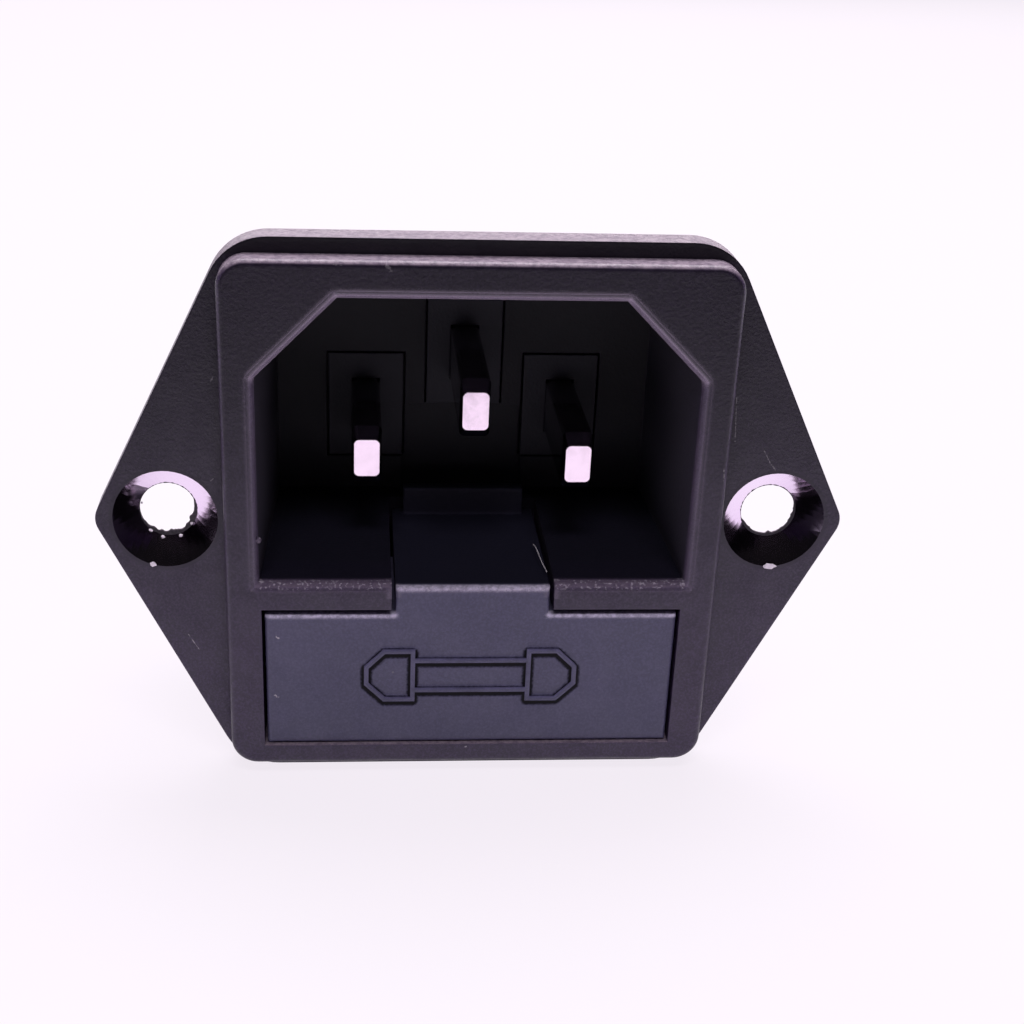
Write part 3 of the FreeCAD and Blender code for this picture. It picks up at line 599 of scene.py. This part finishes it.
def hole_flash(name, side, seed):
    """The torn skin that the drill left round the narrow end of a countersink."""
    draw = random.Random(seed)
    mesh = bpy.data.meshes.new(name)
    form = bmesh.new()
    rings = []
    centre = Vector((side * HOLE_X, SINK_FLOOR_Y, 0))
    for i in range(FLASH_STEPS):
        turn = math.tau * i / FLASH_STEPS
        across, up = math.cos(turn), math.sin(turn)
        away = Vector((across, 0, up))
        low_side = max(0.0, -math.sin(turn - FLASH_TURN)) ** 0.5
        long_wave = noise.noise(Vector((across * LONG_WAVES, up * LONG_WAVES, seed * 7.3)))
        short_wave = noise.noise(Vector((across * SHORT_WAVES, up * SHORT_WAVES, seed * 3.7)))
        plain, long, short = FLASH_MOST
        most = plain + long * max(0.0, long_wave) + short * max(0.0, short_wave)
        reach = (FLASH_LEAST + low_side * most) * MM
        curl = draw.uniform(-0.02, 0.04) * MM
        outer = centre + away * (HOLE_R + FLASH_ROOT)
        inner = centre + away * (HOLE_R - reach)
        rings.append([form.verts.new(p) for p in (
            outer + Vector((0, -0.05 * MM, 0)), inner + Vector((0, curl - 0.03 * MM, 0)),
            inner + Vector((0, curl + 0.02 * MM, 0)), outer + Vector((0, 0.10 * MM, 0)))])
    for here, there in zip(rings, rings[1:] + rings[:1]):
        for k in range(4):
            form.faces.new((here[k], here[(k + 1) % 4], there[(k + 1) % 4], there[k]))
    bmesh.ops.recalc_face_normals(form, faces=form.faces)
    form.to_mesh(mesh)
    form.free()
    piece(name, mesh, carrier_plastic, "inlet")


CRUMB_SWELL = 0.45                       # how uneven a crumb is, and how fine its lumps are
CRUMB_LUMPS = 1.7


def crumb(name, place, size, seed, look, body, slot):
    """A torn crumb of plastic, smaller than a grain of sand."""
    mesh = bpy.data.meshes.new(name)
    form = bmesh.new()
    bmesh.ops.create_icosphere(form, subdivisions=2, radius=1.0)
    for vert in form.verts:
        swell = 1 + CRUMB_SWELL * noise.noise(vert.co * CRUMB_LUMPS + Vector((seed, 0, 0)))
        vert.co = Vector([a * b * swell for a, b in zip(vert.co, size)]) * MM + Vector(place) * MM
    form.to_mesh(mesh)
    form.free()
    piece(name, mesh, look, body)


def fibre(name, points, radius, look, body):
    """A loose hair: a thin tube along a smooth line."""
    line = bpy.data.curves.new(name, "CURVE")
    line.dimensions = "3D"
    line.bevel_depth = radius * MM
    line.bevel_resolution = 2
    line.resolution_u = 8
    spline = line.splines.new("BEZIER")
    spline.bezier_points.add(len(points) - 1)
    for point, where in zip(spline.bezier_points, points):
        point.co = Vector(where) * MM
        point.handle_left_type = point.handle_right_type = "AUTO"
    line.use_fill_caps = True
    curve = bpy.data.objects.new(name + "_line", line)
    bpy.context.scene.collection.objects.link(curve)
    bpy.context.view_layer.update()
    mesh = bpy.data.meshes.new_from_object(curve.evaluated_get(bpy.context.evaluated_depsgraph_get()))
    bpy.data.objects.remove(curve)
    piece(name, mesh, look, body)


hole_flash("hole_flash_left", -1, 3)
hole_flash("hole_flash_right", 1, 8)

# torn crumbs round the countersinks; their near-white colour is a painted glint
torn_glint_plastic = Look("torn_glint_plastic")
flecks = torn_glint_plastic.noise(4000, 3)
torn_glint_plastic.colour(torn_glint_plastic.mix(flecks, (0.62, 0.54, 0.66, 1), (0.97, 0.88, 0.98, 1)))
torn_glint_plastic.set(rough=0.22)
# what a crumb is made of, the body it rides on and its slot
HOUSING = (housing_plastic, "inlet", "housing_plastic")
# crumbs painted bright as glints
TORN_GLINT = (torn_glint_plastic, "inlet", "housing_plastic")
# name, place and half sizes in mm, seed, kind
CRUMBS = (
    ("sink_burr_left", (-20.95, -2.0, -3.22), (0.21, 0.10, 0.17), 1, TORN_GLINT),
    ("sink_burr_right", (20.07, -2.02, -3.36), (0.42, 0.10, 0.22), 2, TORN_GLINT),
    ("edge_flash_left", (-12.1, -0.10, 18.51), (0.55, 0.10, 0.07), 3, HOUSING),
    ("edge_flash_right", (11.0, -0.10, 18.51), (0.40, 0.10, 0.07), 4, HOUSING),
    ("lip_burr", (-13.95, -3.45, -0.8), (0.16, 0.10, 0.22), 5, HOUSING),
    ("hole_glint_left_a", (-21.67, -0.35, 0.45), (0.07, 0.07, 0.08), 6, TORN_GLINT),
    ("hole_glint_left_b", (-21.22, -0.35, -1.55), (0.15, 0.08, 0.13), 7, TORN_GLINT),
    ("hole_glint_left_c", (-20.43, -0.42, -1.98), (0.15, 0.12, 0.13), 8, TORN_GLINT),
    ("hole_glint_left_d", (-19.22, -0.44, -1.86), (0.15, 0.12, 0.11), 9, TORN_GLINT),
    ("hole_glint_left_e", (-18.50, -0.35, -1.02), (0.09, 0.08, 0.11), 10, TORN_GLINT),
    ("hole_glint_right_a", (18.80, -0.40, -1.80), (0.16, 0.09, 0.10), 11, TORN_GLINT),
    ("hole_glint_right_b", (19.35, -0.40, -2.05), (0.34, 0.09, 0.10), 12, TORN_GLINT),
    ("hole_glint_right_c", (20.28, -0.40, -2.15), (0.13, 0.09, 0.09), 13, TORN_GLINT),
)
for name, place, size, seed, kind in CRUMBS:
    crumb(name, place, size, seed, *kind)

lint = Look("lint")
lint.colour(lint.mix(lint.noise(900), (0.42, 0.38, 0.43, 1), (0.62, 0.58, 0.63, 1)))
lint.set(rough=0.7)
fibre("lint_hair", ((4.55, 2.4, -3.82), (4.62, 1.0, -3.55), (4.82, -0.6, -3.75), (5.02, -1.9, -3.84)),
      0.035, lint, "inlet")


# ---------------------------------------------------------------- stage, light and camera

def lamp(name, place, aim, size, watts, colour, in_gloss=True):
    light = bpy.data.lights.new(name, "AREA")
    light.shape = "RECTANGLE"
    light.size, light.size_y = size
    light.energy = watts
    light.color = colour
    made = bpy.data.objects.new(name, light)
    made.location = place
    made.rotation_euler = (Vector(aim) - Vector(place)).to_track_quat("-Z", "Y").to_euler()
    made.visible_glossy = in_gloss
    bpy.context.scene.collection.objects.link(made)


PALE = (0.985, 0.925, 1.0, 1)
ROOM = 0.06              # the dim room round the paper
ROOM_IN_GLOSS = 0.015
FLOOR_HALF = 3.0
FLOOR_GAP = 0.02 * MM
OWN_SHARE = 0.86         # share of the paper's brightness that is its own, where it is seen
DIM_FROM, DIM_TO = -0.070, -0.100        # in a gloss it darkens between these, towards the camera
DIM_BY = 0.95


def floor():
    mesh = bpy.data.meshes.new("floor")
    level = housing_low.z - FLOOR_GAP
    corners = [(x * FLOOR_HALF, y * FLOOR_HALF, level) for x, y in ((-1, -1), (1, -1), (1, 1), (-1, 1))]
    mesh.from_pydata(corners, [], [(0, 1, 2, 3)])
    made = bpy.data.objects.new("floor", mesh)
    bpy.context.scene.collection.objects.link(made)
    look = Look("floor_paper")
    look.colour(look.mix(look.noise(40, 3), (0.84, 0.80, 0.85, 1), (0.86, 0.82, 0.87, 1)))
    look.set(rough=0.9, specular=0.1)
    # seen directly or in a gloss, most of the paper's brightness is its own, and the shadow stays;
    # in a gloss it is darker towards the camera, where the room is dim
    path = look.add("ShaderNodeLightPath").outputs
    gloss = path["Is Glossy Ray"]
    seen = look.calc("MAXIMUM", look.calc("MAXIMUM", path["Is Camera Ray"], gloss),
                     path["Is Transmission Ray"])
    near = look.remap(look.separate(look.place)[1], DIM_TO, DIM_FROM, DIM_BY, 0.0)
    glow = look.add("ShaderNodeEmission")
    glow.inputs["Color"].default_value = PALE
    look.join(look.calc("SUBTRACT", 1.0, look.calc("MULTIPLY", gloss, near)), glow.inputs["Strength"])
    both = look.add("ShaderNodeMixShader")
    look.join(look.calc("MULTIPLY", seen, OWN_SHARE), both.inputs[0])
    look.join(look.shader.outputs[0], both.inputs[1])
    look.join(glow.outputs[0], both.inputs[2])
    look.join(both.outputs[0], look.tree.nodes["Material Output"].inputs["Surface"])
    mesh.materials.append(look.material)


def world():
    made = bpy.data.worlds.new("studio")
    bpy.context.scene.world = made
    made.use_nodes = True
    tree = made.node_tree
    path = tree.nodes.new("ShaderNodeLightPath")
    room = tree.nodes["Background"]
    room.inputs["Color"].default_value = (0.97, 0.95, 1.0, 1)
    dim = tree.nodes.new("ShaderNodeMapRange")
    dim.inputs["To Min"].default_value = ROOM
    dim.inputs["To Max"].default_value = ROOM_IN_GLOSS
    tree.links.new(path.outputs["Is Glossy Ray"], dim.inputs["Value"])
    tree.links.new(dim.outputs["Result"], room.inputs["Strength"])
    white = tree.nodes.new("ShaderNodeBackground")
    white.inputs["Color"].default_value = PALE
    choose = tree.nodes.new("ShaderNodeMixShader")
    tree.links.new(path.outputs["Is Camera Ray"], choose.inputs[0])
    tree.links.new(room.outputs[0], choose.inputs[1])
    tree.links.new(white.outputs[0], choose.inputs[2])
    tree.links.new(choose.outputs[0], tree.nodes["World Output"].inputs["Surface"])


floor()
world()
lamp("soft_front", (0.0, -0.27, 0.44), (0, 0, 0), (0.25, 0.08), 1.1, (1.0, 0.97, 1.0), in_gloss=False)
lamp("soft_back", (0.04, 0.20, 0.47), (0, 0, 0.01), (0.50, 0.28), 3.8, (1.0, 0.95, 0.99))
lamp("low_back", (0.03, 0.50, 0.13), (0, 0, 0.01), (0.60, 0.10), 0.6, (1.0, 0.93, 0.97))

# the camera that fits the photograph
camera_data = bpy.data.cameras.new("camera")
camera_data.sensor_width = 36
camera_data.lens = 56.13
camera_data.shift_x = 0.0349
camera_data.shift_y = 0.0408
camera_data.clip_start = 0.005
camera = bpy.data.objects.new("camera", camera_data)
right = Vector((0.9971, -0.0688, 0.0330))
up = Vector((-0.0003, 0.4277, 0.9039))
ahead = Vector((0.0763, 0.9013, -0.4265))
turn = Matrix((right, up, -ahead)).transposed().to_4x4()
camera.matrix_world = Matrix.Translation(Vector((-7.84, -97.3, 42.64)) * MM) @ turn
bpy.context.scene.collection.objects.link(camera)
bpy.context.scene.camera = camera
bpy.context.scene.view_settings.view_transform = "Standard"
